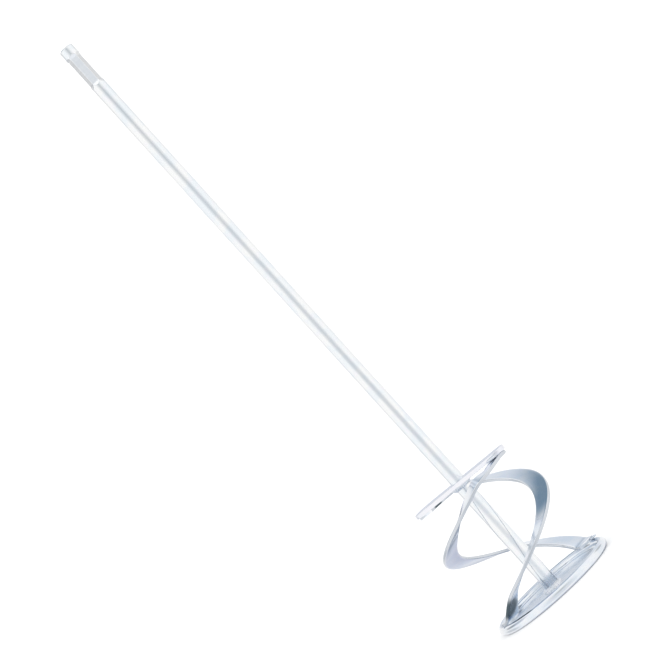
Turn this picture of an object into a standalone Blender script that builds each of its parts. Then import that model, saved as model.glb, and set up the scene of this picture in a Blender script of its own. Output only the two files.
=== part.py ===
"""Mortar mixing paddle, standing on its dish.

Metres, +Z up along the shaft. The origin is the centre of the dish's underside.
Azimuths are degrees about +Z, counted from +X towards +Y.
"""
import math

import bmesh
import bpy
from mathutils import Matrix, Vector

# Whole tool
OVERALL_LENGTH = 0.625
HEAD_HEIGHT = 0.1205            # underside of the crossbar above the floor
WELDED_GAP = 0.0003             # seam between two pieces that touch

# Shaft and its drive shank
SHAFT_DIAMETER = 0.014
SHAFT_CHAMFER = 0.0012
SHANK_ACROSS_FLATS = 0.011
SHANK_FLATS = 6
SHANK_FLAT_LENGTH = 0.028       # along the shaft, without the ramps at its ends
SHANK_RAMP_LENGTH = 0.003
SHANK_COLLAR_LENGTH = 0.0085    # round stretch left between the flats and the tip
SHANK_FLAT_AZIMUTH = -90.0

# Crossbar
CROSSBAR_AZIMUTH = -35.0
CROSSBAR_WIDTH = 0.020
CROSSBAR_THICKNESS = 0.004

# Dish
DISH_DIAMETER = 0.120
DISH_SHEET = 0.0025
RIM_HEIGHT = 0.008
RIM_BEND_RADIUS = 0.001         # inside radius between the plate and the rim's inner wall
RIM_LIP_ANGLE = -65.0           # where the rolled edge stops, seen in its section

# Ribbons
RIBBON_WIDTH = 0.016
RIBBON_THICKNESS = 0.003
RIBBON_SETBACK = 0.003          # outer edge of the ribbon inside the edge of the dish
RIBBON_SWEEP = 307.0
RIBBON_FOOT_LAP = 10.0          # flat end that lies on the rim, as an angle
RIBBON_BEND_SPAN = 10.0         # angle over which a change of slope is spread

# Each ribbon is bent by hand: it leaves the crossbar at a gentler slope than its even helix, up to
# an angle, and comes down to the rim at a steeper one, from an angle. Slopes are shares of the helix's.
RIBBON_BENDS = {
    "ribbon_a": {"run_in": 0.37, "run_in_end": 46.0, "run_out_start": 240.0, "run_out": 1.48},
    "ribbon_b": {"run_in": 0.10, "run_in_end": 52.0, "run_out_start": 272.0, "run_out": 1.57},
}

# The bending has rolled the first ribbon a little beyond the crossbar: the height by which its inner
# edge lies above its outer one, and the angles between which this comes and goes again
RIBBON_ROLL = {"ribbon_a": 0.0038, "ribbon_b": 0.0}
RIBBON_ROLL_ANGLES = (20.0, 42.0, 62.0, 120.0)

# Welds
SHAFT_WELD_LEG = 0.0035
BEAD_RADIUS = 0.0016
BEAD_LENGTH_TOP = 0.013
BEAD_LENGTH_FOOT = 0.007

# Mesh fineness
ROUND_STEPS = 72
RIBBON_STATIONS = 88
ARC_STEP = 22.5

# Sizes that follow from the ones above
shaft_radius = SHAFT_DIAMETER / 2
rim_radius = RIM_HEIGHT / 2
rim_centre_radius = DISH_DIAMETER / 2 - rim_radius
ribbon_outer_radius = DISH_DIAMETER / 2 - RIBBON_SETBACK
ribbon_inner_radius = ribbon_outer_radius - RIBBON_WIDTH
ribbon_mean_radius = (ribbon_outer_radius + ribbon_inner_radius) / 2
ribbon_top = HEAD_HEIGHT - WELDED_GAP - RIBBON_THICKNESS / 2
ribbon_bottom = RIM_HEIGHT + WELDED_GAP + RIBBON_THICKNESS / 2
crossbar_lap = math.degrees(math.asin(CROSSBAR_WIDTH / 2 / ribbon_mean_radius))

# Azimuth at which each ribbon starts, under one end of the crossbar
RIBBON_START = {"ribbon_a": CROSSBAR_AZIMUTH, "ribbon_b": CROSSBAR_AZIMUTH + 180.0}


def clear_scene():
    for obj in list(bpy.data.objects):
        bpy.data.objects.remove(obj, do_unlink=True)


def new_collection(name):
    collection = bpy.data.collections.new(name)
    bpy.context.scene.collection.children.link(collection)
    return collection


def metal(name, colour, roughness):
    material = bpy.data.materials.new(name)
    material.use_nodes = True
    shader = material.node_tree.nodes["Principled BSDF"]
    shader.inputs["Base Color"].default_value = (*colour, 1.0)
    shader.inputs["Metallic"].default_value = 1.0
    shader.inputs["Roughness"].default_value = roughness
    return material


def add_object(name, mesh, collection, material=None):
    obj = bpy.data.objects.new(name, mesh)
    collection.objects.link(obj)
    if material:
        mesh.materials.append(material)
    return obj


def smooth(mesh, angle=35.0):
    mesh.shade_smooth()
    mesh.set_sharp_from_angle(angle=math.radians(angle))


def polar(radius, azimuth, height):
    turn = math.radians(azimuth)
    return Vector((radius * math.cos(turn), radius * math.sin(turn), height))


def arc(centre, radius, start, end):
    """Points of a profile arc, as (radius from the axis, height), from start to end degrees."""
    count = max(2, math.ceil(abs(end - start) / ARC_STEP))
    points = []
    for step in range(count + 1):
        turn = math.radians(start + (end - start) * step / count)
        points.append((centre[0] + radius * math.cos(turn), centre[1] + radius * math.sin(turn)))
    return points


def turned(name, profile, collection, material, closed=False):
    """A solid turned about Z from a profile that runs down its outer side."""
    mesh = bpy.data.meshes.new(name)
    edges = [(i, i + 1) for i in range(len(profile) - 1)]
    if closed:
        edges.append((len(profile) - 1, 0))
    mesh.from_pydata([(radius, 0.0, height) for radius, height in profile], edges, [])
    obj = add_object(name, mesh, collection, material)
    screw = obj.modifiers.new("turn", "SCREW")
    screw.steps = ROUND_STEPS
    screw.render_steps = ROUND_STEPS
    screw.use_merge_vertices = True
    screw.merge_threshold = 0.00001
    screw.use_smooth_shade = True
    return obj


def cut(obj, cutter):
    cutter.hide_render = True
    cutter.display_type = "WIRE"
    boolean = obj.modifiers.new("cut " + cutter.name, "BOOLEAN")
    boolean.operation = "DIFFERENCE"
    boolean.solver = "EXACT"
    boolean.object = cutter


def shank_flat_cutter(azimuth, collection):
    """A block outside one flat, longer on its outer side so that the flat's ends are ramped."""
    depth = SHAFT_DIAMETER
    bottom = OVERALL_LENGTH - SHANK_COLLAR_LENGTH - SHANK_FLAT_LENGTH - 2 * SHANK_RAMP_LENGTH
    middle = bottom + SHANK_RAMP_LENGTH + SHANK_FLAT_LENGTH / 2
    full_cut = shaft_radius - SHANK_ACROSS_FLATS / 2
    ramp_slope = SHANK_RAMP_LENGTH / full_cut
    block = bmesh.new()
    bmesh.ops.create_cube(block, size=1.0)
    bmesh.ops.scale(block, vec=(depth, 2 * SHAFT_DIAMETER, SHANK_FLAT_LENGTH), verts=block.verts)
    for vert in block.verts:
        if vert.co.x > 0:
            vert.co.z += math.copysign(ramp_slope * depth, vert.co.z)
    centre = polar(SHANK_ACROSS_FLATS / 2 + depth / 2, azimuth, middle)
    turn = Matrix.Rotation(math.radians(azimuth), 4, "Z")
    bmesh.ops.transform(block, matrix=Matrix.Translation(centre) @ turn, verts=block.verts)
    mesh = bpy.data.meshes.new(f"shank_cutter_{azimuth:.0f}")
    block.to_mesh(mesh)
    block.free()
    return add_object(mesh.name, mesh, collection)


def build_shaft(parts, cutters, material):
    foot = DISH_SHEET + WELDED_GAP
    profile = [
        (0.0, OVERALL_LENGTH),
        (shaft_radius - SHAFT_CHAMFER, OVERALL_LENGTH),
        (shaft_radius, OVERALL_LENGTH - SHAFT_CHAMFER),
        (shaft_radius, foot),
        (0.0, foot),
    ]
    shaft = turned("shaft", profile, parts, material)
    for flat in range(SHANK_FLATS):
        azimuth = SHANK_FLAT_AZIMUTH + flat * 360.0 / SHANK_FLATS
        cut(shaft, shank_flat_cutter(azimuth, cutters))


def build_crossbar(parts, cutters, material):
    """A flat bar with round ends, as long as the ribbons are wide overall, and its shaft hole."""
    end_radius = CROSSBAR_WIDTH / 2
    end_centre = ribbon_outer_radius - end_radius
    outline = arc((end_centre, 0.0), end_radius, -90.0, 90.0)
    outline += arc((-end_centre, 0.0), end_radius, 90.0, 270.0)
    curve = bpy.data.curves.new("crossbar_outline", "CURVE")
    curve.dimensions = "2D"
    curve.fill_mode = "BOTH"
    curve.extrude = CROSSBAR_THICKNESS / 2
    spline = curve.splines.new("POLY")
    spline.points.add(len(outline) - 1)
    for point, (along, across) in zip(spline.points, outline):
        point.co = (along, across, 0.0, 1.0)
    spline.use_cyclic_u = True
    blank = add_object("crossbar_outline", curve, cutters)
    blank.location.z = HEAD_HEIGHT + CROSSBAR_THICKNESS / 2
    blank.rotation_euler.z = math.radians(CROSSBAR_AZIMUTH)
    bpy.context.view_layer.update()
    evaluated = blank.evaluated_get(bpy.context.evaluated_depsgraph_get())
    mesh = bpy.data.meshes.new_from_object(evaluated)
    bar = bmesh.new()
    bar.from_mesh(mesh)
    bmesh.ops.remove_doubles(bar, verts=bar.verts, dist=0.00001)
    bar.to_mesh(mesh)
    bar.free()
    crossbar = add_object("crossbar", mesh, parts, material)
    crossbar.matrix_world = blank.matrix_world.copy()
    bpy.data.objects.remove(blank, do_unlink=True)

    hole = bmesh.new()
    bmesh.ops.create_cone(
        hole, cap_ends=True, segments=ROUND_STEPS, depth=4 * CROSSBAR_THICKNESS,
        radius1=shaft_radius + WELDED_GAP, radius2=shaft_radius + WELDED_GAP)
    bmesh.ops.translate(hole, verts=hole.verts, vec=(0, 0, HEAD_HEIGHT))
    hole_mesh = bpy.data.meshes.new("crossbar_hole")
    hole.to_mesh(hole_mesh)
    hole.free()
    cut(crossbar, add_object("crossbar_hole", hole_mesh, cutters))


def build_dish(parts, material):
    """A pressed plate whose edge rises and rolls outwards into a hollow bead."""
    bead_centre = (rim_centre_radius, rim_radius)
    wall = rim_centre_radius - rim_radius
    bend_centre = (wall - RIM_BEND_RADIUS, DISH_SHEET + RIM_BEND_RADIUS)
    profile = [(0.0, DISH_SHEET)]
    profile += arc(bend_centre, RIM_BEND_RADIUS, -90.0, 0.0)
    profile += arc(bead_centre, rim_radius, 180.0, RIM_LIP_ANGLE)
    profile += arc(bead_centre, rim_radius - DISH_SHEET, RIM_LIP_ANGLE, 180.0)
    profile += arc(bend_centre, RIM_BEND_RADIUS + DISH_SHEET, 0.0, -90.0)
    profile.append((0.0, 0.0))
    turned("base_dish", profile, parts, material)


def bend(angle, at):
    """The height of a line that is level at first and climbs at a slope of one from the angle `at`."""
    start = at - RIBBON_BEND_SPAN / 2
    inside = min(max(angle - start, 0.0), RIBBON_BEND_SPAN)
    return inside * inside / (2 * RIBBON_BEND_SPAN) + max(angle - start - RIBBON_BEND_SPAN, 0.0)


def ribbon_fall(name, angle):
    """How far a ribbon has come down after an angle, in units of its even helix's slope.

    It lies flat under the crossbar, runs in, follows an even helix, runs out, and is flat on the rim.
    """
    bends = RIBBON_BENDS[name]
    return (
        bends["run_in"] * bend(angle, crossbar_lap)
        + (1.0 - bends["run_in"]) * bend(angle, bends["run_in_end"])
        + (bends["run_out"] - 1.0) * bend(angle, bends["run_out_start"])
        - bends["run_out"] * bend(angle, RIBBON_SWEEP - RIBBON_FOOT_LAP)
    )


def ribbon_height(name, angle):
    share = ribbon_fall(name, angle) / ribbon_fall(name, RIBBON_SWEEP)
    return ribbon_top + (ribbon_bottom - ribbon_top) * share


def smooth_step(start, end, value):
    share = min(max((value - start) / (end - start), 0.0), 1.0)
    return share * share * (3.0 - 2.0 * share)


def ribbon_roll(name, angle):
    """How much higher the inner edge lies than the outer one, where the strip first bends down."""
    rise_start, rise_end, fall_start, fall_end = RIBBON_ROLL_ANGLES
    rising = smooth_step(rise_start, rise_end, angle)
    falling = smooth_step(fall_start, fall_end, angle)
    return RIBBON_ROLL[name] * rising * (1.0 - falling)


def build_ribbon(name, parts, material):
    """A strip that winds down right-handed from the crossbar, with its width radial and nearly level."""
    strip = bmesh.new()
    bmesh.ops.create_grid(strip, x_segments=RIBBON_STATIONS, y_segments=1, size=0.5)
    for vert in strip.verts:
        angle = (vert.co.x + 0.5) * RIBBON_SWEEP
        radius = ribbon_mean_radius + vert.co.y * RIBBON_WIDTH
        height = ribbon_height(name, angle) + ribbon_roll(name, angle) * (0.5 - vert.co.y)
        vert.co = polar(radius, RIBBON_START[name] - angle, height)
    bmesh.ops.recalc_face_normals(strip, faces=strip.faces)
    mesh = bpy.data.meshes.new(name)
    strip.to_mesh(mesh)
    strip.free()
    ribbon = add_object(name, mesh, parts, material)
    solidify = ribbon.modifiers.new("thickness", "SOLIDIFY")
    solidify.thickness = RIBBON_THICKNESS
    solidify.offset = 0.0


def build_ring_weld(name, height, side, parts, material):
    """A fillet weld round the shaft, above (side 1) or below (side -1) a face at a height."""
    inner = shaft_radius + WELDED_GAP
    start = height + side * WELDED_GAP
    corner = (inner, start)
    wide = (inner + SHAFT_WELD_LEG, start)
    tall = (inner, start + side * SHAFT_WELD_LEG)
    crown = (inner + SHAFT_WELD_LEG * 0.6, start + side * SHAFT_WELD_LEG * 0.6)
    profile = [tall, crown, wide, corner]
    if side < 0:
        profile.reverse()
    turned(name, profile, parts, material, closed=True)


def build_bead(name, centre, azimuth, length, parts, material):
    """A short weld run, with its length along an azimuth."""
    bead = bmesh.new()
    bmesh.ops.create_uvsphere(bead, u_segments=16, v_segments=10, radius=BEAD_RADIUS)
    bmesh.ops.scale(bead, vec=(length / 2 / BEAD_RADIUS, 1.0, 1.0), verts=bead.verts)
    turn = Matrix.Rotation(math.radians(azimuth), 4, "Z")
    bmesh.ops.transform(bead, matrix=Matrix.Translation(centre) @ turn, verts=bead.verts)
    mesh = bpy.data.meshes.new(name)
    bead.to_mesh(mesh)
    bead.free()
    smooth(mesh, 80.0)
    add_object(name, mesh, parts, material)


def build_ribbon_welds(name, parts, material):
    """A run along the crossbar's side, on top of the ribbon, and one across its end on the rim."""
    start = RIBBON_START[name]
    beside_bar = CROSSBAR_WIDTH / 2 + WELDED_GAP + BEAD_RADIUS
    leaving = math.degrees(math.atan2(beside_bar, ribbon_mean_radius))
    top_height = ribbon_top + RIBBON_THICKNESS / 2 + WELDED_GAP + BEAD_RADIUS
    top = polar(math.hypot(beside_bar, ribbon_mean_radius), start - leaving, top_height)
    build_bead(f"weld_{name}_top", top, start, BEAD_LENGTH_TOP, parts, material)

    past_end = math.degrees((WELDED_GAP + BEAD_RADIUS) / rim_centre_radius)
    foot_azimuth = start - RIBBON_SWEEP - past_end
    foot = polar(rim_centre_radius, foot_azimuth, RIM_HEIGHT + WELDED_GAP + BEAD_RADIUS)
    build_bead(f"weld_{name}_foot", foot, foot_azimuth, BEAD_LENGTH_FOOT, parts, material)


def main():
    clear_scene()
    parts = new_collection("mortar_mixing_paddle")
    cutters = new_collection("cutters")
    shaft_zinc = metal("shaft_zinc", (0.80, 0.83, 0.87), 0.28)
    bar_zinc = metal("bar_zinc", (0.76, 0.79, 0.85), 0.34)
    dish_zinc = metal("dish_zinc", (0.72, 0.76, 0.83), 0.30)
    weld_zinc = metal("weld_zinc", (0.62, 0.65, 0.70), 0.50)

    build_shaft(parts, cutters, shaft_zinc)
    build_crossbar(parts, cutters, bar_zinc)
    build_dish(parts, dish_zinc)
    build_ring_weld("weld_shaft_dish", DISH_SHEET, 1, parts, weld_zinc)
    build_ring_weld("weld_shaft_crossbar", HEAD_HEIGHT, -1, parts, weld_zinc)
    for name in RIBBON_START:
        build_ribbon(name, parts, metal(name + "_zinc", (0.74, 0.78, 0.85), 0.26))
        build_ribbon_welds(name, parts, weld_zinc)


main()
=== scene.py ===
"""Looks of the mortar mixing paddle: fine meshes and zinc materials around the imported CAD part.

Metres and degrees, in the row's frame: +Z up along the shaft, origin under the middle of the dish.
Azimuths are counted about +Z from +X towards +Y.
"""

import math

import bmesh
import bpy
from mathutils import Matrix, Vector, noise


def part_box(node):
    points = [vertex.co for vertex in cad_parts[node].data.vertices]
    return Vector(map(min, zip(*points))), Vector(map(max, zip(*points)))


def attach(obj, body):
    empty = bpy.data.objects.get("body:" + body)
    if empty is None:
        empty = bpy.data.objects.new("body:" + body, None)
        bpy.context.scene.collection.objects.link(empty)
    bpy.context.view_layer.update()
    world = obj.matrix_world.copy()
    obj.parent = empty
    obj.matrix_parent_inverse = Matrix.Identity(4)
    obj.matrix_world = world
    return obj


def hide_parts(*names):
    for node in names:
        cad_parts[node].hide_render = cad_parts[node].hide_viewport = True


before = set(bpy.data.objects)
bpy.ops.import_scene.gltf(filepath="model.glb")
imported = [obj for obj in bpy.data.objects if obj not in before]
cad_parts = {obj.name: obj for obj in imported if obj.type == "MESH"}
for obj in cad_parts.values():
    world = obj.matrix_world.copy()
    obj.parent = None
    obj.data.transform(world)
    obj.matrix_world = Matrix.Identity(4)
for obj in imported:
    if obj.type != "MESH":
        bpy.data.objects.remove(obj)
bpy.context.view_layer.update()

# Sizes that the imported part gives
_, dish_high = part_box("base_dish")
_, shaft_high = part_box("shaft")
bar_low, bar_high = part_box("crossbar")
DISH_RADIUS = dish_high.x
RIM_HEIGHT = dish_high.z
SHAFT_RADIUS = shaft_high.x
SHAFT_TOP = shaft_high.z
BAR_BOTTOM = bar_low.z
BAR_THICKNESS = bar_high.z - bar_low.z

# Sizes that repeat the design's
SEAM = 0.0003
DISH_SHEET = 0.0025
RIM_BEND_RADIUS = 0.001
RIM_LIP_ANGLE = -65.0
SHANK_ACROSS_FLATS = 0.011
SHANK_FLATS = 6
SHANK_FLAT_LENGTH = 0.028
SHANK_RAMP_LENGTH = 0.003
SHANK_COLLAR_LENGTH = 0.0085
SHANK_FLAT_AZIMUTH = -90.0
SHAFT_CHAMFER = 0.0012
BAR_AZIMUTH = -35.0
BAR_WIDTH = 0.020
RIBBON_WIDTH = 0.016
RIBBON_THICKNESS = 0.003
RIBBON_SETBACK = 0.003
RIBBON_SWEEP = 307.0
RIBBON_FOOT_LAP = 10.0
RIBBON_BEND_SPAN = 10.0
RIBBON_BENDS = {
    "ribbon_a": {"run_in": 0.37, "run_in_end": 46.0, "run_out_start": 240.0, "run_out": 1.48},
    "ribbon_b": {"run_in": 0.10, "run_in_end": 52.0, "run_out_start": 272.0, "run_out": 1.57},
}
RIBBON_ROLL = {"ribbon_a": 0.0038, "ribbon_b": 0.0}
RIBBON_ROLL_ANGLES = (20.0, 42.0, 62.0, 120.0)
RIBBON_START = {"ribbon_a": BAR_AZIMUTH, "ribbon_b": BAR_AZIMUTH + 180.0}
RIBBON_OUTER_RADIUS = DISH_RADIUS - RIBBON_SETBACK
RIBBON_MEAN_RADIUS = RIBBON_OUTER_RADIUS - RIBBON_WIDTH / 2
RIBBON_TOP = BAR_BOTTOM - SEAM - RIBBON_THICKNESS / 2
RIBBON_BOTTOM = RIM_HEIGHT + SEAM + RIBBON_THICKNESS / 2
RIBBON_BAR_LAP = math.degrees(math.asin(BAR_WIDTH / 2 / RIBBON_MEAN_RADIUS))
WELD_LEG = 0.0035
BEAD_RADIUS = 0.0016
BEAD_LENGTH_TOP = 0.013
BEAD_LENGTH_FOOT = 0.007

# Finish of the edges
TIP_EDGE_RADIUS = 0.0003
TIP_EDGE_STEP = 0.0001
BAR_EDGE_RADIUS = 0.0006
STRIP_EDGE_RADIUS = 0.0009

# Fineness of the meshes
SHAFT_STEPS = 240
ROD_ROWS = 60
SHANK_ROWS = 130
SHANK_ROWS_START = 3 * SHANK_RAMP_LENGTH
ROUND_END_STEPS = 40
STRAIGHT_SIDE_STEPS = 24
DISH_STEPS = 300
DISH_FLOOR_RADII = (0.0005, 0.007, 0.0115, 0.02, 0.03, 0.04, 0.047)
DISH_UNDERSIDE_RADII = (0.04, 0.03, 0.02, 0.01, 0.0005)
STRIP_STATIONS = 420
STRIP_FACE_STEPS = 8
RING_WELD_STEPS = 480
RING_WELD_ROWS = 14
BEAD_STATIONS = 60
BEAD_STEPS = 36
ARC_STEP = 6.0
EDGE_ARC_STEP = 15
OUTER_BEND_STEP = 10.0
STEP_AHEAD = 0.2

# Angles from which an edge is shaded sharp
SHAFT_SHARP = 25.0
BAR_SHARP = 30.0
DISH_SHARP = 40.0
STRIP_SHARP = 35.0
RING_WELD_SHARP = 70.0
BEAD_SHARP = 80.0


# ---------------------------------------------------------------- mesh helpers

def polar(radius, azimuth, height):
    """A point from its distance and azimuth about the shaft's axis."""
    turn = math.radians(azimuth)
    return Vector((radius * math.cos(turn), radius * math.sin(turn), height))


def arc(centre, radius, start, end, step=ARC_STEP):
    """Points of an arc in a flat section, both ends included."""
    count = max(2, math.ceil(abs(end - start) / step))
    points = []
    for i in range(count + 1):
        turn = math.radians(start + (end - start) * i / count)
        points.append((centre[0] + radius * math.cos(turn), centre[1] + radius * math.sin(turn)))
    return points


def smoothstep(low, high, value):
    """0 at low and 1 at high with level ends; low may be the larger one."""
    share = min(max((value - low) / (high - low), 0.0), 1.0)
    return share * share * (3.0 - 2.0 * share)


def loft(name, rings, grain, edge=None, painted_shade=None, milled=None, closed=False, sharp=DISH_SHARP):
    """A mesh through closed rings of points, capped at both ends.

    grain gives, for each point, its place along and across the metal's grain. edge says how near
    it is to a worn edge, painted_shade how much dark shade is painted on it and milled whether it is
    on a cut flat, where a full mark gets a painted highlight and a half mark painted shade, all from 0 to
    1.
    A closed loft has no caps and joins its last ring to its first.
    """
    mesh = bpy.data.meshes.new(name)
    shape = bmesh.new()
    grain_layer = shape.verts.layers.float_vector.new("grain")
    edge_layer = shape.verts.layers.float.new("edge")
    # A layer for how much shade is painted on each point
    painted_shade_layer = shape.verts.layers.float.new("painted_shade")
    milled_layer = shape.verts.layers.float.new("milled")
    rows = []
    for i, ring in enumerate(rings):
        row = []
        for j, point in enumerate(ring):
            vert = shape.verts.new(point)
            vert[grain_layer] = grain[i][j]
            vert[edge_layer] = edge[i][j] if edge else 0.0
            vert[painted_shade_layer] = painted_shade[i][j] if painted_shade else 0.0
            vert[milled_layer] = milled[i][j] if milled else 0.0
            row.append(vert)
        rows.append(row)
    pairs = list(zip(rows, rows[1:]))
    if closed:
        pairs.append((rows[-1], rows[0]))
    for lower, upper in pairs:
        for j in range(len(lower)):
            after = (j + 1) % len(lower)
            shape.faces.new((lower[j], lower[after], upper[after], upper[j]))
    if not closed:
        for row in (rows[0], rows[-1]):
            middle = shape.verts.new(sum((v.co for v in row), Vector()) / len(row))
            middle[grain_layer] = row[0][grain_layer]
            for j in range(len(row)):
                shape.faces.new((row[j], row[(j + 1) % len(row)], middle))
    bmesh.ops.recalc_face_normals(shape, faces=shape.faces)
    shape.to_mesh(mesh)
    shape.free()
    mesh.shade_smooth()
    mesh.set_sharp_from_angle(angle=math.radians(sharp))
    piece = bpy.data.objects.new(name, mesh)
    bpy.context.scene.collection.objects.link(piece)
    return piece


def stand_for(piece, node, material):
    """Gives a piece its material and lets it stand for its CAD node."""
    piece.data.materials.append(material)
    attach(piece, "root")
    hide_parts(node)
    return piece


def turned(name, profile, edge):
    """Rings about Z from a closed profile of (radius, height) points; edge gives a point's wear."""
    rings = []
    grain = []
    marks = []
    for radius, height in profile:
        ring = [polar(radius, 360.0 * j / DISH_STEPS, height) for j in range(DISH_STEPS)]
        rings.append(ring)
        grain.append([(p.x, p.y, p.z) for p in ring])
        marks.append([edge(radius, height)] * DISH_STEPS)
    return loft(name, rings, grain, marks, closed=True)


# ---------------------------------------------------------------- shaft

RAMP_CURVE = 0.25
CORNER_SHARPNESS = 70.0
LEAST_FACING = 0.3
CORNER_WEAR_ANGLES = (4.5, 0.5)
CUT_RADIUS_SHARES = (0.99, 0.97)
# Marks for the flats that are painted lit and those painted shaded
PAINTED_LIT_FLAT = 1.0
PAINTED_SHADED_FLAT = 0.5
TIP_FACE_RINGS = (0.5, 0.1)
TIP_WEAR_FROM = 0.75


def flat_distance(height):
    """Distance from the axis to the plane of a shank flat, which runs out in ramps at its ends."""
    top = SHAFT_TOP - SHANK_COLLAR_LENGTH - SHANK_RAMP_LENGTH
    bottom = top - SHANK_FLAT_LENGTH
    beyond = max(height - top, bottom - height, 0.0)
    slope = (SHAFT_RADIUS - SHANK_ACROSS_FLATS / 2) / SHANK_RAMP_LENGTH
    curve = 1.0 - RAMP_CURVE + RAMP_CURVE * beyond / SHANK_RAMP_LENGTH
    return SHANK_ACROSS_FLATS / 2 + slope * beyond * curve


def shaft_radius_at(azimuth, height):
    """The round bar's radius, or less where a flat is cut, with slightly rounded corners."""
    radius = SHAFT_RADIUS
    distance = flat_distance(height)
    if distance < SHAFT_RADIUS:
        total = radius ** -CORNER_SHARPNESS
        for flat in range(SHANK_FLATS):
            turn = math.radians(azimuth - SHANK_FLAT_AZIMUTH - flat * 360.0 / SHANK_FLATS)
            facing = math.cos(turn)
            if facing > LEAST_FACING:
                total += (distance / facing) ** -CORNER_SHARPNESS
        radius = total ** (-1.0 / CORNER_SHARPNESS)
    return radius


def shaft_heights():
    """Close rows at the shank, wide ones along the plain rod."""
    foot = DISH_SHEET
    shank = SHAFT_TOP - SHANK_COLLAR_LENGTH - SHANK_FLAT_LENGTH - SHANK_ROWS_START
    top = SHAFT_TOP - SHAFT_CHAMFER
    heights = [foot + (shank - foot) * i / ROD_ROWS for i in range(ROD_ROWS)]
    heights += [shank + (top - shank) * i / SHANK_ROWS for i in range(SHANK_ROWS + 1)]
    return heights


def corner_wear(azimuth, height):
    """How near a point of the shank lies to a corner between two flats."""
    if flat_distance(height) >= SHAFT_RADIUS:
        return 0.0
    turn = (azimuth - SHANK_FLAT_AZIMUTH) % (360.0 / SHANK_FLATS)
    return smoothstep(*CORNER_WEAR_ANGLES, abs(turn - 180.0 / SHANK_FLATS))


def flat_mark_and_painted_light(azimuth, radius):
    """Nothing on the round bar; on a flat, full for one given a painted highlight and half for one given
    painted shade, every second flat alike.
    """
    flat_number = round((azimuth - SHANK_FLAT_AZIMUTH) / (360.0 / SHANK_FLATS))
    lit_share = PAINTED_LIT_FLAT if flat_number % 2 == 0 else PAINTED_SHADED_FLAT
    start, end = CUT_RADIUS_SHARES
    return lit_share * smoothstep(SHAFT_RADIUS * start, SHAFT_RADIUS * end, radius)


def shaft_tip():
    """The chamfered tip above the last straight row: (radius, height) points."""
    chamfer_start = (SHAFT_RADIUS - TIP_EDGE_RADIUS, SHAFT_TOP - SHAFT_CHAMFER)
    rounding = arc(chamfer_start, TIP_EDGE_RADIUS, 0.0, 45.0, EDGE_ARC_STEP)
    face_radius = SHAFT_RADIUS - SHAFT_CHAMFER
    tip = rounding[1:] + [
        (face_radius + TIP_EDGE_STEP, SHAFT_TOP - TIP_EDGE_STEP),
        (face_radius - TIP_EDGE_STEP, SHAFT_TOP),
    ]
    return tip + [(SHAFT_RADIUS * share, SHAFT_TOP) for share in TIP_FACE_RINGS]


def build_shaft(material):
    """Rings run up the bar, over the shank and in across the tip."""
    azimuths = [360.0 * j / SHAFT_STEPS for j in range(SHAFT_STEPS)]
    rings = []
    edges = []
    flats = []
    for height in shaft_heights():
        radii = [shaft_radius_at(azimuth, height) for azimuth in azimuths]
        rings.append([polar(radius, azimuth, height) for radius, azimuth in zip(radii, azimuths)])
        edges.append([corner_wear(azimuth, height) for azimuth in azimuths])
        # Which points lie on a cut flat, and whether that flat is painted lit or shaded
        flats.append([flat_mark_and_painted_light(azimuth, radius) for radius, azimuth in zip(radii, azimuths)])
    for radius, height in shaft_tip():
        rings.append([polar(radius, azimuth, height) for azimuth in azimuths])
        edges.append([1.0 if radius > SHAFT_RADIUS * TIP_WEAR_FROM else 0.0] * SHAFT_STEPS)
        flats.append([0.0] * SHAFT_STEPS)
    round_the_bar = [2 * math.pi * j / SHAFT_STEPS for j in range(SHAFT_STEPS)]
    grain = [
        [(p.z, SHAFT_RADIUS * math.cos(turn), SHAFT_RADIUS * math.sin(turn))
         for p, turn in zip(ring, round_the_bar)]
        for ring in rings
    ]
    shaft = loft("drive_shaft", rings, grain, edges, milled=flats, sharp=SHAFT_SHARP)
    return stand_for(shaft, "shaft", material)


# ---------------------------------------------------------------- crossbar

HOLE_FACE_WIDTH = 0.0015
FACE_RING_SHARE = 0.92
FACE_WEAR = 0.1
SIDE_WEAR = 0.8


def stadium(half_length, half_width):
    """An outline with round ends, counter-clockwise, and its centre at the origin."""
    reach = half_length - half_width
    outline = []
    for side in (1, -1):
        for i in range(ROUND_END_STEPS + 1):
            turn = math.radians(-90.0 + 180.0 * i / ROUND_END_STEPS)
            along = reach + half_width * math.cos(turn)
            outline.append(Vector((side * along, side * half_width * math.sin(turn))))
        for i in range(1, STRAIGHT_SIDE_STEPS):
            along = reach * (1 - 2 * i / STRAIGHT_SIDE_STEPS)
            outline.append(Vector((side * along, side * half_width)))
    return outline


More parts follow.
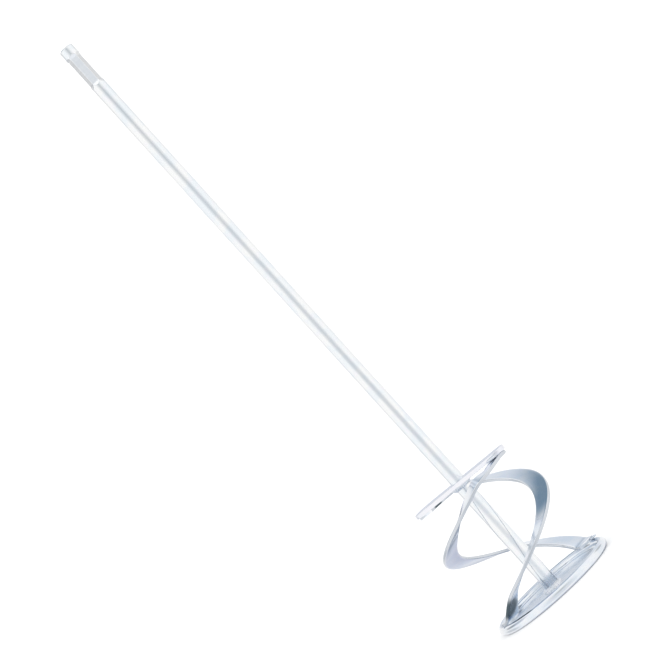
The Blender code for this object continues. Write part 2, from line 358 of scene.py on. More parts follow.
def build_crossbar(material):
    """Rings run up the hole, out over the top, down the rounded side and back in below."""
    half_length = RIBBON_OUTER_RADIUS
    half_width = BAR_WIDTH / 2
    hole = SHAFT_RADIUS + SEAM / 2
    low = BAR_BOTTOM
    high = BAR_BOTTOM + BAR_THICKNESS
    outline = stadium(half_length, half_width)
    inward = stadium(half_length - BAR_EDGE_RADIUS, half_width - BAR_EDGE_RADIUS)
    turn = Matrix.Rotation(math.radians(BAR_AZIMUTH), 3, "Z")
    rings = []
    marks = []

    def add(points, height, mark):
        rings.append([turn @ Vector((p.x, p.y, height)) for p in points])
        marks.append([mark] * len(points))

    around_hole = [p.normalized() * hole for p in outline]
    around_hole_wide = [p.normalized() * (hole + HOLE_FACE_WIDTH) for p in outline]
    near_edge = [p.lerp(q, FACE_RING_SHARE) for p, q in zip(around_hole_wide, inward)]
    add(around_hole, low, 0.0)
    add(around_hole, high, 0.0)
    add(around_hole_wide, high, 0.0)
    add(near_edge, high, FACE_WEAR)
    for degrees in range(90, -91, -EDGE_ARC_STEP):
        share = math.radians(degrees)
        out = math.cos(share)
        level = high - BAR_EDGE_RADIUS if degrees >= 0 else low + BAR_EDGE_RADIUS
        points = [p.lerp(q, out) for p, q in zip(inward, outline)]
        if degrees == 0:
            add(points, high - BAR_EDGE_RADIUS, SIDE_WEAR)
            add(points, low + BAR_EDGE_RADIUS, SIDE_WEAR)
            continue
        add(points, level + BAR_EDGE_RADIUS * math.sin(share), 1.0)
    add(near_edge, low, FACE_WEAR)
    add(around_hole_wide, low, 0.0)
    back = turn.transposed()
    grain = [[tuple(back @ p) for p in ring] for ring in rings]
    bar = loft("crossbar_plate", rings, grain, marks, closed=True, sharp=BAR_SHARP)
    return stand_for(bar, "crossbar", material)


# ---------------------------------------------------------------- dish

CROWN_WIDTH = 0.5
CROWN_WEAR = 0.6


def build_dish(material):
    """The profile runs out over the floor, round the rim's bead and back in below."""
    rim_radius = RIM_HEIGHT / 2
    bead_centre = (DISH_RADIUS - rim_radius, rim_radius)
    wall = DISH_RADIUS - RIM_HEIGHT
    bend_centre = (wall - RIM_BEND_RADIUS, DISH_SHEET + RIM_BEND_RADIUS)
    profile = [(radius, DISH_SHEET) for radius in DISH_FLOOR_RADII]
    profile += arc(bend_centre, RIM_BEND_RADIUS, -90.0, 0.0, EDGE_ARC_STEP)
    profile += arc(bead_centre, rim_radius, 180.0, RIM_LIP_ANGLE)
    profile += arc(bead_centre, rim_radius - DISH_SHEET, RIM_LIP_ANGLE, 180.0)
    profile += arc(bend_centre, RIM_BEND_RADIUS + DISH_SHEET, 0.0, -90.0, OUTER_BEND_STEP)
    profile += [(radius, 0.0) for radius in DISH_UNDERSIDE_RADII]

    def edge(radius, height):
        crown = smoothstep(rim_radius * CROWN_WIDTH, 0.0, abs(radius - bead_centre[0]))
        return CROWN_WEAR * crown if height > rim_radius else 0.0

    dish = turned("dish_pressing", profile, edge)
    return stand_for(dish, "base_dish", material)


# ---------------------------------------------------------------- ribbons

# The two recesses where near-black shade is painted on the strip's underside: their middle and reach, in
# degrees from the strip's start and metres out from its middle, and the shares of the reach between which
# they fade
UNDER_BAR_ANGLE = (15.0, 8.5)
UNDER_BAR_OUT = (-0.008, 0.009)
UNDER_BAR_FADE = (1.3, 0.4)
UNDER_BAR_STRIP = "ribbon_b"
ABOVE_FOOT_ANGLE = (283.0, 11.0)
ABOVE_FOOT_OUT = (0.004, 0.011)
ABOVE_FOOT_FADE = (1.5, 0.3)
TOP_FACE_FROM = 0.3
END_WEAR_ANGLES = (1.5, 0.3)


def bend(angle, at):
    """The height of a line that is level at first and climbs at a slope of one from the angle `at`."""
    start = at - RIBBON_BEND_SPAN / 2
    inside = min(max(angle - start, 0.0), RIBBON_BEND_SPAN)
    return inside * inside / (2 * RIBBON_BEND_SPAN) + max(angle - start - RIBBON_BEND_SPAN, 0.0)


def ribbon_fall(name, angle):
    """How far the strip has come down, in degrees of a slope of one."""
    bends = RIBBON_BENDS[name]
    return (
        bends["run_in"] * bend(angle, RIBBON_BAR_LAP)
        + (1.0 - bends["run_in"]) * bend(angle, bends["run_in_end"])
        + (bends["run_out"] - 1.0) * bend(angle, bends["run_out_start"])
        - bends["run_out"] * bend(angle, RIBBON_SWEEP - RIBBON_FOOT_LAP)
    )


def ribbon_height(name, angle):
    """The height of the strip's mean line."""
    share = ribbon_fall(name, angle) / ribbon_fall(name, RIBBON_SWEEP)
    return RIBBON_TOP + (RIBBON_BOTTOM - RIBBON_TOP) * share


def ribbon_roll(name, angle):
    """How much higher the inner edge lies than the outer one."""
    rise_start, rise_end, fall_start, fall_end = RIBBON_ROLL_ANGLES
    rising = smoothstep(rise_start, rise_end, angle)
    return RIBBON_ROLL[name] * rising * (1.0 - smoothstep(fall_start, fall_end, angle))


def ribbon_point(name, angle, out):
    """A point of the strip's middle surface, `out` metres outside its mean radius."""
    height = ribbon_height(name, angle) + ribbon_roll(name, angle) * (0.5 - out / RIBBON_WIDTH)
    return polar(RIBBON_MEAN_RADIUS + out, RIBBON_START[name] - angle, height)


def strip_section(width, thickness, radius):
    """A flat bar's rounded section: (out, up) points and how near each is to an edge."""
    across = width / 2 - radius
    upward = thickness / 2 - radius
    face = range(1, STRIP_FACE_STEPS)
    points = []
    for right, high, start in ((1, 1, 0.0), (-1, 1, 90.0), (-1, -1, 180.0), (1, -1, 270.0)):
        corner = (right * across, high * upward)
        for out, up in arc(corner, radius, start, start + 90.0, EDGE_ARC_STEP):
            points.append((out, up, 1.0))
        if (right, high) == (1, 1):
            points += [(across * (1 - 2 * i / STRIP_FACE_STEPS), thickness / 2, 0.0) for i in face]
        if (right, high) == (-1, -1):
            points += [(-across * (1 - 2 * i / STRIP_FACE_STEPS), -thickness / 2, 0.0) for i in face]
    return points


def in_recess(angle, out, along, across, fade):
    """How deep a point lies in an oval patch of painted shade, from 0 outside it to 1 at its middle."""
    off = math.hypot((angle - along[0]) / along[1], (out - across[0]) / across[1])
    return smoothstep(*fade, off)


def ribbon_painted_shade(name, angle, out, up):
    """How strongly shade is painted on a point of the strip's underside, under the crossbar or in the
    wedge above its foot.
    """
    if up > RIBBON_THICKNESS * TOP_FACE_FROM:
        return 0.0
    deep = in_recess(angle, out, ABOVE_FOOT_ANGLE, ABOVE_FOOT_OUT, ABOVE_FOOT_FADE)
    if name == UNDER_BAR_STRIP:
        deep = max(deep, in_recess(angle, out, UNDER_BAR_ANGLE, UNDER_BAR_OUT, UNDER_BAR_FADE))
    return deep


def ribbon_normal(name, angle, out):
    """The strip's own upward direction, from points a little ahead, behind and outwards."""
    ahead = ribbon_point(name, angle + STEP_AHEAD, out) - ribbon_point(name, angle - STEP_AHEAD, out)
    outwards = ribbon_point(name, angle, out + RIBBON_WIDTH) - ribbon_point(name, angle, out)
    normal = ahead.cross(outwards).normalized()
    if normal.z < 0:
        normal.negate()
    return normal


def build_ribbon(name, piece_name, material):
    """The strip is a right-handed helix, with its width radial and level except where it is rolled."""
    section = strip_section(RIBBON_WIDTH, RIBBON_THICKNESS, STRIP_EDGE_RADIUS)
    rings = []
    grain = []
    marks = []
    painted_shades = []
    for station in range(STRIP_STATIONS + 1):
        angle = RIBBON_SWEEP * station / STRIP_STATIONS
        ring = []
        for out, up, _ in section:
            ring.append(ribbon_point(name, angle, out) + ribbon_normal(name, angle, out) * up)
        rings.append(ring)
        along = math.radians(angle) * RIBBON_MEAN_RADIUS
        grain.append([(along, out, up) for out, up, _ in section])
        near_end = smoothstep(*END_WEAR_ANGLES, min(angle, RIBBON_SWEEP - angle))
        marks.append([max(mark, near_end) for _, _, mark in section])
        # How much dark shade is painted on each point of this station
        painted_shades.append([ribbon_painted_shade(name, angle, out, up) for out, up, _ in section])
    ribbon = loft(piece_name, rings, grain, marks, painted_shades, sharp=STRIP_SHARP)
    return stand_for(ribbon, name, material)


# ---------------------------------------------------------------- welds

SCALE_LEAN = 0.7
RING_SCALES = 22
RING_SCALE_CURVE = 4.0
RING_OVERLAP = 0.0004
RING_SINK = 0.0002
RING_WANDER = ((260.0, 0.10), (900.0, 0.05))
RING_LEG_SHARES = (0.86, 0.09)
RING_HOLLOW = 0.16
RING_SCALE_DEPTH = 0.0002
RING_HOLLOW_SHARE = 0.7
RING_BACK_HEIGHT = 0.8
BEAD_END = 0.985
BEAD_FULLNESS = 3.2
BEAD_LEAST = 0.06
BEAD_SCALE_PITCH = 0.0011
BEAD_LEAN = 0.0003
BEAD_WANDER_SPOT = 0.001
BEAD_WANDER = (700.0, 0.10)
BEAD_RADIUS_SHARES = (0.93, 0.10)
BEAD_SPREAD = 1.12
BEAD_FLATNESS_TOP = 0.85
BEAD_FLATNESS_FOOT = 0.62


def ripple(along, pitch):
    """The overlapping scales of a weld run: 0 where each starts and ends and 1 at its crest."""
    share = (along / pitch) % 1.0
    return math.sin(math.pi * share ** SCALE_LEAN)


def ring_weld_face(azimuth, height, share, middle):
    """A point of the fillet's hollow, rippled face: out from the shaft and up from the face."""
    spot = polar(SHAFT_RADIUS, azimuth, height)
    (coarse, coarse_size), (fine, fine_size) = RING_WANDER
    wander = noise.noise(spot * coarse) * coarse_size + noise.noise(spot * fine) * fine_size
    scale = ripple(azimuth + RING_SCALE_CURVE * middle, 360.0 / RING_SCALES)
    least, scale_share = RING_LEG_SHARES
    leg = WELD_LEG * (least + wander + scale_share * scale)
    hollow = leg * RING_HOLLOW * middle - RING_SCALE_DEPTH * scale * middle
    out = leg * math.cos(share * math.pi / 2) - hollow * RING_HOLLOW_SHARE
    up = leg * math.sin(share * math.pi / 2) - hollow * RING_HOLLOW_SHARE
    return out, up


def build_ring_weld(name, piece_name, height, side, material):
    """A rippled fillet round the shaft, above (side 1) or below (side -1) a face."""
    inner = SHAFT_RADIUS - RING_OVERLAP
    azimuths = [360.0 * j / RING_WELD_STEPS for j in range(RING_WELD_STEPS)]
    rings = []
    grain = []
    for i in range(RING_WELD_ROWS):
        share = i / (RING_WELD_ROWS - 1)
        middle = math.sin(math.pi * share)
        sink = RING_SINK if i == 0 else 0.0
        rings.append([])
        grain.append([])
        for azimuth in azimuths:
            out, up = ring_weld_face(azimuth, height, share, middle)
            radius = inner + RING_OVERLAP + max(out, 0.0)
            rings[-1].append(polar(radius, azimuth, height + side * (max(up, 0.0) - sink)))
            grain[-1].append((math.radians(azimuth) * SHAFT_RADIUS, out, up))
    for back in (height + side * WELD_LEG * RING_BACK_HEIGHT, height - side * RING_SINK):
        rings.append([polar(inner, azimuth, back) for azimuth in azimuths])
        grain.append(grain[-1])
    weld = loft(piece_name, rings, grain, closed=True, sharp=RING_WELD_SHARP)
    return stand_for(weld, name, material)


def build_run_weld(name, piece_name, azimuth, length, flatness, material):
    """A short rippled run, lying along an azimuth at its CAD node's place."""
    low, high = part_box(name)
    centre = (low + high) / 2
    turn = Matrix.Rotation(math.radians(azimuth), 3, "Z")
    faces = [2 * math.pi * j / BEAD_STEPS for j in range(BEAD_STEPS)]
    frequency, wander_size = BEAD_WANDER
    plain, scale_share = BEAD_RADIUS_SHARES
    rings = []
    grain = []
    for i in range(BEAD_STATIONS + 1):
        share = -1.0 + 2.0 * i / BEAD_STATIONS
        along = share * length / 2 * BEAD_END
        swell = math.sqrt(max(1.0 - abs(share) ** BEAD_FULLNESS, 0.0))
        scale = ripple(along + length, BEAD_SCALE_PITCH)
        ring = []
        for face in faces:
            level = math.cos(face) * BEAD_WANDER_SPOT
            spot = Vector((along, level, math.sin(face) * BEAD_WANDER_SPOT))
            wander = noise.noise((spot + centre) * frequency) * wander_size
            radius = BEAD_RADIUS * (plain + scale_share * scale + wander) * max(swell, BEAD_LEAST)
            lean = BEAD_LEAN * math.cos(face) * (1 - share * share)
            across = radius * math.cos(face) * BEAD_SPREAD
            upward = radius * math.sin(face) * flatness - BEAD_RADIUS * (1.0 - flatness)
            ring.append(centre + turn @ Vector((along + lean, across, upward)))
        rings.append(ring)
        grain.append([(along, radius * math.cos(face), 0.0) for face in faces])
    weld = loft(piece_name, rings, grain, sharp=BEAD_SHARP)
    return stand_for(weld, name, material)


# ---------------------------------------------------------------- materials

class Nodes:
    """Short calls for building one material's or world's node tree."""

    def __init__(self, tree):
        self.tree = tree
        self.tree.nodes.clear()

    def add(self, kind, inputs=(), **settings):
        node = self.tree.nodes.new(kind)
        for key, value in settings.items():
            setattr(node, key, value)
        for key, value in dict(inputs).items():
            self.put(node.inputs[key], value)
        return node

    def put(self, socket, value):
        if isinstance(value, bpy.types.NodeSocket):
            self.tree.links.new(value, socket)
        else:
            socket.default_value = value

    def math(self, operation, a, b=0.0, clamp=False):
        node = self.add("ShaderNodeMath", {0: a, 1: b}, operation=operation, use_clamp=clamp)
        return node.outputs[0]

    def spread(self, value, low, high, to_low=0.0, to_high=1.0):
        node = self.add("ShaderNodeMapRange", {0: value, 1: low, 2: high, 3: to_low, 4: to_high})
        node.interpolation_type = "SMOOTHSTEP"
        return node.outputs[0]

    def mix(self, factor, a, b):
        node = self.add("ShaderNodeMix", data_type="RGBA")
        self.put(node.inputs["Factor"], factor)
        colours = [s for s in node.inputs if s.type == "RGBA"]
        self.put(colours[0], a)
        self.put(colours[1], b)
        return next(s for s in node.outputs if s.type == "RGBA")

    def noise(self, vector, scale, detail=3.0, roughness=0.55, stretch=None):
        if stretch:
            mapping = self.add("ShaderNodeMapping", {"Vector": vector, "Scale": stretch})
            vector = mapping.outputs["Vector"]
        node = self.add(
            "ShaderNodeTexNoise",
            {"Vector": vector, "Scale": scale, "Detail": detail, "Roughness": roughness})
        return node.outputs[0]

    def attribute(self, name, output="Fac"):
        return self.add("ShaderNodeAttribute", attribute_name=name).outputs[output]

    def bump(self, height, depth, normal=None):
        inputs = {"Strength": 1.0, "Distance": depth, "Height": height}
        if normal is not None:
            inputs["Normal"] = normal
        return self.add("ShaderNodeBump", inputs).outputs["Normal"]


def rgba(colour, gain=1.0):
    """A colour with each part times the gain, and full alpha."""
    return (colour[0] * gain, colour[1] * gain, colour[2] * gain, 1.0)


def shaded(colour, shares):
    """A colour with each part times its own share, and full alpha."""
    return (colour[0] * shares[0], colour[1] * shares[1], colour[2] * shares[2], 1.0)


# What each material is made of; sheared is how far out a strip's cut sides lie
SHAFT_LOOK = {"colour": (0.80, 0.83, 0.86), "roughness": 0.13, "streak": 0.6, "milled": True}
BAR_LOOK = {"colour": (0.715, 0.735, 0.825), "roughness": 0.18, "streak": 0.5}
STRIP_LOOK = {"colour": (0.74, 0.785, 0.85), "roughness": 0.10, "streak": 0.4, "sheared": RIBBON_WIDTH / 2}
DISH_LOOK = {"colour": (0.74, 0.785, 0.84), "roughness": 0.12, "streak": 0.3}
WELD_LOOK = {"colour": (0.72, 0.76, 0.81), "roughness": 0.28, "streak": 0.2, "lump_depth": 0.00001}

# Noise: scale, detail and roughness. Streaks and scratches are drawn out along the metal's grain,
# and cutter marks across it
FILM_NOISE = (75.0, 4.0)
BLUSH_NOISE = (210.0, 2.0)
HAZE_NOISE = (900.0, 4.0, 0.6)
LUMP_NOISE = (1500.0, 5.0, 0.65)
STREAK_NOISE = (1.0, 3.0, 0.6)
STREAK_STRETCH = (35.0, 2600.0, 2600.0)
SCRATCH_NOISE = (1.0, 1.0, 0.5)
SCRATCH_STRETCH = (55.0, 5200.0, 5200.0)
CUT_NOISE = (1.0, 1.0, 0.5)
CUT_STRETCH = (420.0, 40.0, 40.0)

# Colours, and shares of a piece's own colour
COOL_SHARES = (0.93, 0.965, 1.0)
WARM_SHARES = (1.02, 1.01, 1.005)
LILAC_SHARES = (1.0, 0.965, 1.02)
STREAK_GAIN = 0.80
WORN_COLOUR = (0.90, 0.91, 0.92, 1.0)
# Near-black painted shade for the strip's underside under the crossbar and above its foot
PAINTED_SHADE_COLOUR = (0.045, 0.075, 0.095, 1.0)
# Painted lit and painted shaded tones for alternate flats of the shank
PAINTED_LIT_FLAT_COLOURS = ((0.86, 0.90, 0.96, 1.0), (0.89, 0.925, 0.98, 1.0))
PAINTED_SHADED_FLAT_COLOURS = ((0.71, 0.73, 0.76, 1.0), (0.74, 0.76, 0.79, 1.0))
SHEARED_COLOURS = ((0.50, 0.54, 0.60, 1.0), (0.62, 0.66, 0.72, 1.0))

# Levels between which an effect comes in, followed by its two strengths where they are fixed
FILM_LEVELS = (0.38, 0.62)
BLUSH_LEVELS = (0.50, 0.68, 0.0, 0.55)
STREAK_TINT_LEVELS = (0.50, 0.74)
STREAK_TINT = 0.35
WORN_LEVELS = (0.25, 1.0, 0.0, 0.45)
HAZE_LEVELS = (0.30, 0.70)
HAZE_SHARES = (0.86, 1.18)
STREAK_ROUGH_LEVELS = (0.46, 0.70)
STREAK_ROUGH = 0.09
SCRATCH_LEVELS = (0.66, 0.72, 0.0, 0.10)
POLISHED_LEVELS = (0.2, 1.0, 0.0, 0.05)
SHEARED_FROM = 0.0006
SHEARED_FULLY = 0.0001
SHEARED_TINT = 0.9
SHEARED_ROUGH = 0.16
# The painted shade in the recesses: its uneven border and its strength
PAINTED_SHADE_EDGE_LEVELS = (0.3, 0.7, -0.12, 0.12)
PAINTED_SHADE_LEVELS = (0.12, 0.95, 0.0, 0.95)
FLAT_LEVELS = (0.05, 0.45)
# Mark levels that pick the painted lit flats
PAINTED_LIT_FLAT_LEVELS = (0.55, 0.95)
CUT_LEVELS = (0.35, 0.65)
CUT_ROUGH = 0.20

# Relief, in metres
STREAK_DEPTH = 0.000002
HAZE_RELIEF = 0.2
CUT_DEPTH = 0.0000008


def film_colour(n, place, film, streaks, colour, streak):
    """The plating's colour: cooler and warmer film, lilac blushes, streaks and paler worn edges."""
    blush = n.noise(place, *BLUSH_NOISE)
    edge = n.attribute("edge")
    tint = n.mix(n.spread(film, *FILM_LEVELS), shaded(colour, COOL_SHARES), shaded(colour, WARM_SHARES))
    tint = n.mix(n.spread(blush, *BLUSH_LEVELS), tint, shaded(colour, LILAC_SHARES))
    streaky = n.spread(streaks, *STREAK_TINT_LEVELS, 0.0, STREAK_TINT * streak)
    tint = n.mix(streaky, tint, rgba(colour, STREAK_GAIN))
    return n.mix(n.spread(edge, *WORN_LEVELS), tint, WORN_COLOUR)


def film_roughness(n, grain, haze, streaks, roughness, streak):
    """The plating's roughness: haze, streaks and scratches, with polished edges."""
    scratch = n.noise(grain, *SCRATCH_NOISE, stretch=SCRATCH_STRETCH)
    smooth, dull = HAZE_SHARES
    rough = n.spread(haze, *HAZE_LEVELS, roughness * smooth, roughness * dull)
    rough = n.math("ADD", rough, n.spread(streaks, *STREAK_ROUGH_LEVELS, 0.0, STREAK_ROUGH * streak))
    rough = n.math("ADD", rough, n.spread(scratch, *SCRATCH_LEVELS))
    return n.math("SUBTRACT", rough, n.spread(n.attribute("edge"), *POLISHED_LEVELS), clamp=True)


def sheared_sides(n, grain, streaks, sheared, bright, rough):
    """Darker, rougher sides where the strip was cut from sheet."""
    across = n.math("ABSOLUTE", n.add("ShaderNodeSeparateXYZ", {0: grain}).outputs["Y"])
    side = n.spread(across, sheared - SHEARED_FROM, sheared - SHEARED_FULLY)
    cut = n.mix(streaks, *SHEARED_COLOURS)
    bright = n.mix(n.math("MULTIPLY", side, SHEARED_TINT), bright, cut)
    rough = n.math("ADD", rough, n.math("MULTIPLY", side, SHEARED_ROUGH), clamp=True)
    return bright, rough


def painted_recess_shade(n, film, bright):
    """Painted shade: near-black colour in the recesses, with an uneven border."""
    shade_share = n.math("ADD", n.attribute("painted_shade"), n.spread(film, *PAINTED_SHADE_EDGE_LEVELS), clamp=True)
    return n.mix(n.spread(shade_share, *PAINTED_SHADE_LEVELS), bright, PAINTED_SHADE_COLOUR)


def milled_flats(n, grain, bright, rough, normal):
    """Cutter marks across the shank's flats, with a painted highlight on every second flat and painted
    shade on the others.
    """
    mark = n.attribute("milled")
    cuts = n.noise(grain, *CUT_NOISE, stretch=CUT_STRETCH)
    flat = n.spread(mark, *FLAT_LEVELS)
    # Painted shade on every second flat and a painted highlight on the others
    dull = n.mix(n.spread(cuts, *CUT_LEVELS), *PAINTED_SHADED_FLAT_COLOURS)
    lit_tone = n.mix(n.spread(cuts, *CUT_LEVELS), *PAINTED_LIT_FLAT_COLOURS)
    bright = n.mix(flat, bright, n.mix(n.spread(mark, *PAINTED_LIT_FLAT_LEVELS), dull, lit_tone))
    rough = n.math("ADD", rough, n.math("MULTIPLY", flat, CUT_ROUGH), clamp=True)
    normal = n.bump(n.math("MULTIPLY", cuts, flat), CUT_DEPTH, normal)
    return bright, rough, normal


def zinc(name, colour, roughness, streak, lump_depth=0.0, sheared=0.0, milled=False):
    """Bright blue-passivated zinc: mottled film, drawn or rolled streaks, fine haze and worn edges, with
    painted shade in recesses and painted light and shade on the shank's flats.
    """
    material = bpy.data.materials.new(name)
    material.use_nodes = True
    n = Nodes(material.node_tree)
    place = n.add("ShaderNodeTexCoord").outputs["Object"]
    grain = n.attribute("grain", "Vector")
    film = n.noise(place, *FILM_NOISE)
    haze = n.noise(place, *HAZE_NOISE)
    streaks = n.noise(grain, *STREAK_NOISE, stretch=STREAK_STRETCH)
    bright = film_colour(n, place, film, streaks, colour, streak)
    rough = film_roughness(n, grain, haze, streaks, roughness, streak)
    if sheared:
        bright, rough = sheared_sides(n, grain, streaks, sheared, bright, rough)
    # Near-black shade painted in the strip's recesses
    bright = painted_recess_shade(n, film, bright)
    drawn = n.math("MULTIPLY", streaks, streak)
    relief = n.math("ADD", drawn, n.math("MULTIPLY", haze, HAZE_RELIEF))
    normal = n.bump(relief, STREAK_DEPTH)
    if milled:
        bright, rough, normal = milled_flats(n, grain, bright, rough, normal)
    if lump_depth:
        normal = n.bump(n.noise(place, *LUMP_NOISE), lump_depth, normal)
    shader = n.add(
        "ShaderNodeBsdfPrincipled",
        {"Base Color": bright, "Metallic": 1.0, "Roughness": rough, "Normal": normal})
    n.add("ShaderNodeOutputMaterial", {"Surface": shader.outputs[0]})
    return material


# ---------------------------------------------------------------- studio

CAMERA_AT = Vector((0.0, -1.900, 0.2619))
CAMERA_TARGET = Vector((0.00555, 0.0, 0.29925))
CAMERA_ROLL = -42.22
CAMERA_LENS = 122.93
CAMERA_REACH = 100.0
SENSOR = 36.0


def build_camera():
    """The viewer looks almost level at the paddle, with the picture turned so that it leans."""
    forward = (CAMERA_TARGET - CAMERA_AT).normalized()
    level = forward.cross(Vector((0, 0, 1))).normalized()
    upward = level.cross(forward)
    roll = math.radians(CAMERA_ROLL)
    right = level * math.cos(roll) + upward * math.sin(roll)
    up = upward * math.cos(roll) - level * math.sin(roll)
    camera = bpy.data.cameras.new("camera")
    camera.lens = CAMERA_LENS
    camera.sensor_width = SENSOR
    camera.sensor_fit = "HORIZONTAL"
    camera.clip_end = CAMERA_REACH
    viewer = bpy.data.objects.new("camera", camera)
    bpy.context.scene.collection.objects.link(viewer)
    turn = Matrix((right, up, -forward)).transposed().to_4x4()
    viewer.matrix_world = Matrix.Translation(CAMERA_AT) @ turn
    bpy.context.scene.camera = viewer


def direction(azimuth, elevation):
    """A unit vector whose azimuth is 0 towards the viewer, along -Y, and 90 along +X."""
    turn = math.radians(azimuth)
    lift = math.radians(elevation)
    return Vector((math.cos(lift) * math.sin(turn), -math.cos(lift) * math.cos(turn), math.sin(lift)))


# Parts of the studio that the metal mirrors: name, azimuth, elevation, the radius within which each
# shows in full, the radius at which it has faded out, strength and colour
REFLECTIONS = [
    ("side walls left", -150.0, 0.0, 20.0, 60.0, 1.0, (1.08, 1.06, 1.03)),
    ("side walls right", 140.0, 0.0, 20.0, 60.0, 1.0, (1.10, 1.08, 1.05)),
    ("upper back right", 166.0, 42.0, 12.0, 34.0, 1.0, (0.84, 0.87, 0.90)),
    ("upper back left flag", -171.0, 50.0, 6.0, 25.0, 1.0, (0.21, 0.30, 0.38)),
    ("left upper wall", -105.0, 32.0, 10.0, 26.0, 0.8, (0.50, 0.55, 0.62)),
    ("wall behind, low", 180.0, 12.0, 4.0, 13.0, 1.0, (0.70, 0.74, 0.80)),
    ("back, below", 180.0, -28.0, 8.0, 34.0, 1.0, (0.92, 0.92, 0.95)),
    ("low back right", 171.0, -22.0, 8.0, 19.0, 1.0, (0.38, 0.42, 0.49)),
    ("table behind", 178.0, -60.0, 14.0, 32.0, 1.0, (0.66, 0.67, 0.76)),
    ("left low", -122.0, -20.0, 10.0, 24.0, 0.5, (0.40, 0.44, 0.50)),
    ("shank left", -122.0, 22.0, 8.0, 17.0, 0.75, (0.30, 0.32, 0.34)),
    ("shank right", 122.0, 22.0, 8.0, 17.0, 0.55, (0.30, 0.32, 0.34)),
    ("viewer, top", 5.0, 20.0, 4.0, 19.0, 0.65, (0.46, 0.49, 0.49)),
    ("viewer, middle", 4.0, -2.0, 1.0, 6.0, 0.22, (0.46, 0.49, 0.50)),
    ("viewer, low", 3.0, -22.0, 14.0, 50.0, 0.34, (0.60, 0.66, 0.76)),
]
STUDIO_WHITE = (1.19, 1.165, 1.125, 1.0)
FRONT_GAP_AZIMUTH = 4.0
FRONT_GAP_INNER = 8.0
FRONT_GAP_OUTER = 50.0
FRONT_GAP_STRENGTH = 0.40
FRONT_GAP_COLOUR = (0.50, 0.525, 0.53, 1.0)
FRONT_GAP_FOOT = (-0.10, -0.05, 0.3, 1.0)
FRONT_GAP_TOP = (0.5, 0.97, 1.0, 0.0)
COSINE_LIMIT = 0.99999
PLAIN_WHITE = (1.0, 1.0, 1.0, 1.0)
PLAIN_STRENGTH = 1.22


def mirrored_lobes(n, way, colour):
    """Lays each soft part of the studio over the colour before it."""
    for _, azimuth, elevation, inner, outer, strength, tone in REFLECTIONS:
        towards = {0: way, 1: direction(azimuth, elevation)}
        aim = n.add("ShaderNodeVectorMath", towards, operation="DOT_PRODUCT").outputs["Value"]
        off = n.math("ARCCOSINE", n.math("MULTIPLY", aim, COSINE_LIMIT))
        near = n.spread(off, math.radians(inner), math.radians(outer), strength, 0.0)
        colour = n.mix(near, colour, rgba(tone))
    return colour


def mirrored_front_gap(n, way, colour):
    """Lays the dim upright gap behind the viewer over the colour before it."""
    xyz = n.add("ShaderNodeSeparateXYZ", {0: way}).outputs
    around = n.math("ARCTAN2", xyz["X"], n.math("MULTIPLY", xyz["Y"], -1.0))
    off_front = n.math("ABSOLUTE", n.math("SUBTRACT", around, math.radians(FRONT_GAP_AZIMUTH)))
    width = (math.radians(FRONT_GAP_INNER), math.radians(FRONT_GAP_OUTER))
    gap = n.spread(off_front, *width, FRONT_GAP_STRENGTH, 0.0)
    top = n.spread(xyz["Z"], *FRONT_GAP_TOP)
    level = n.math("MULTIPLY", top, n.spread(xyz["Z"], *FRONT_GAP_FOOT))
    return n.mix(n.math("MULTIPLY", gap, level), colour, FRONT_GAP_COLOUR)


def build_world():
    """Even white light, and a white studio with soft darker parts for the metal to mirror."""
    world = bpy.data.worlds.new("studio")
    world.use_nodes = True
    bpy.context.scene.world = world
    n = Nodes(world.node_tree)
    way = n.add("ShaderNodeTexCoord").outputs["Generated"]
    colour = mirrored_front_gap(n, way, mirrored_lobes(n, way, STUDIO_WHITE))
    mirrored = n.add("ShaderNodeBackground", {"Color": colour, "Strength": 1.0})
    plain = n.add("ShaderNodeBackground", {"Color": PLAIN_WHITE, "Strength": PLAIN_STRENGTH})
    glossy = n.add("ShaderNodeLightPath").outputs["Is Glossy Ray"]
    both = n.add("ShaderNodeMixShader", {0: glossy, 1: plain.outputs[0], 2: mirrored.outputs[0]})
    n.add("ShaderNodeOutputWorld", {"Surface": both.outputs[0]})


FLOOR_RADIUS = 14.0
FLOOR_STEPS = 96
FLOOR_DROP = 0.0002
FLOOR_NOISE = (3.0, 2.0)
FLOOR_TONES = ((0.925, 0.93, 0.935, 1.0), (0.945, 0.945, 0.945, 1.0))
FLOOR_ROUGHNESS = 0.9
FLOOR_SPECULAR = 0.1


def floor_material():
    """Pale matt board, almost one tone."""
    material = bpy.data.materials.new("pale_floor")
    material.use_nodes = True
    n = Nodes(material.node_tree)
    place = n.add("ShaderNodeTexCoord").outputs["Object"]
    tone = n.mix(n.noise(place, *FLOOR_NOISE), *FLOOR_TONES)
    shader = n.add(
        "ShaderNodeBsdfPrincipled",
        {"Base Color": tone, "Roughness": FLOOR_ROUGHNESS, "Specular IOR Level": FLOOR_SPECULAR})
    n.add("ShaderNodeOutputMaterial", {"Surface": shader.outputs[0]})
    return material


def build_floor():
    """A plain pale floor, which the metal doesn't mirror: the studio's own table does that."""
    mesh = bpy.data.meshes.new("floor")
    shape = bmesh.new()
    bmesh.ops.create_circle(shape, cap_ends=True, radius=FLOOR_RADIUS, segments=FLOOR_STEPS)
    shape.to_mesh(mesh)
    shape.free()
    floor = bpy.data.objects.new("floor", mesh)
    bpy.context.scene.collection.objects.link(floor)
    floor.location.z = -FLOOR_DROP
    floor.visible_glossy = False
    floor.data.materials.append(floor_material())


# Name, side of the viewer and power in watts
LAMPS = (("key_light", -1.0, 5.0), ("fill_light", 1.0, 3.0))
LAMP_SIZE = 1.6
LAMP_PLACE = Vector((1.3, -1.2, 2.2))
LAMP_TARGET = Vector((0.0, 0.0, 0.2))


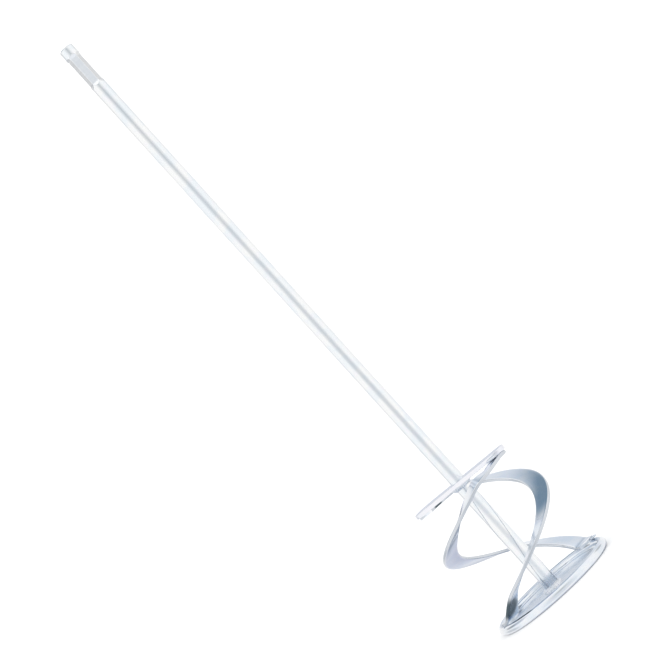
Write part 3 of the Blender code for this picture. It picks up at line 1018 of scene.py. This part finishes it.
def build_lights():
    """Two large soft lights from above, one to each side of the viewer."""
    for name, side, power in LAMPS:
        light = bpy.data.lights.new(name, "AREA")
        light.shape = "RECTANGLE"
        light.size = LAMP_SIZE
        light.size_y = LAMP_SIZE
        light.energy = power
        lamp = bpy.data.objects.new(name, light)
        bpy.context.scene.collection.objects.link(lamp)
        lamp.location = (LAMP_PLACE.x * side, LAMP_PLACE.y, LAMP_PLACE.z)
        aim = LAMP_TARGET - lamp.location
        lamp.rotation_euler = aim.to_track_quat("-Z", "Y").to_euler()
        lamp.visible_glossy = False


# ---------------------------------------------------------------- the whole scene

def build_runs(material):
    """The four weld runs that hold the two strips, at their tops and on the rim."""
    for strip, start in RIBBON_START.items():
        top = f"weld_{strip}_top"
        foot = f"weld_{strip}_foot"
        foot_low, foot_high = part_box(foot)
        middle = (foot_low + foot_high) / 2
        foot_azimuth = math.degrees(math.atan2(middle.y, middle.x))
        top_name = f"bead_{strip}_top"
        foot_name = f"bead_{strip}_foot"
        build_run_weld(top, top_name, start, BEAD_LENGTH_TOP, BEAD_FLATNESS_TOP, material)
        build_run_weld(foot, foot_name, foot_azimuth, BEAD_LENGTH_FOOT, BEAD_FLATNESS_FOOT, material)


def main():
    """Builds the pieces, then the camera, the studio and the floor."""
    bpy.context.scene.view_settings.view_transform = "Standard"
    shaft_zinc = zinc("drawn_bar_zinc", **SHAFT_LOOK)
    bar_zinc = zinc("flat_bar_zinc", **BAR_LOOK)
    ribbon_zinc = zinc("strip_zinc", **STRIP_LOOK)
    dish_zinc = zinc("sheet_zinc", **DISH_LOOK)
    weld_zinc = zinc("weld_bead_zinc", **WELD_LOOK)
    build_shaft(shaft_zinc)
    build_crossbar(bar_zinc)
    build_dish(dish_zinc)
    build_ribbon("ribbon_a", "helix_strip_a", ribbon_zinc)
    build_ribbon("ribbon_b", "helix_strip_b", ribbon_zinc)
    build_ring_weld("weld_shaft_dish", "fillet_shaft_dish", DISH_SHEET, 1, weld_zinc)
    build_ring_weld("weld_shaft_crossbar", "fillet_shaft_crossbar", BAR_BOTTOM, -1, weld_zinc)
    build_runs(weld_zinc)
    build_camera()
    build_world()
    build_floor()
    build_lights()


main()
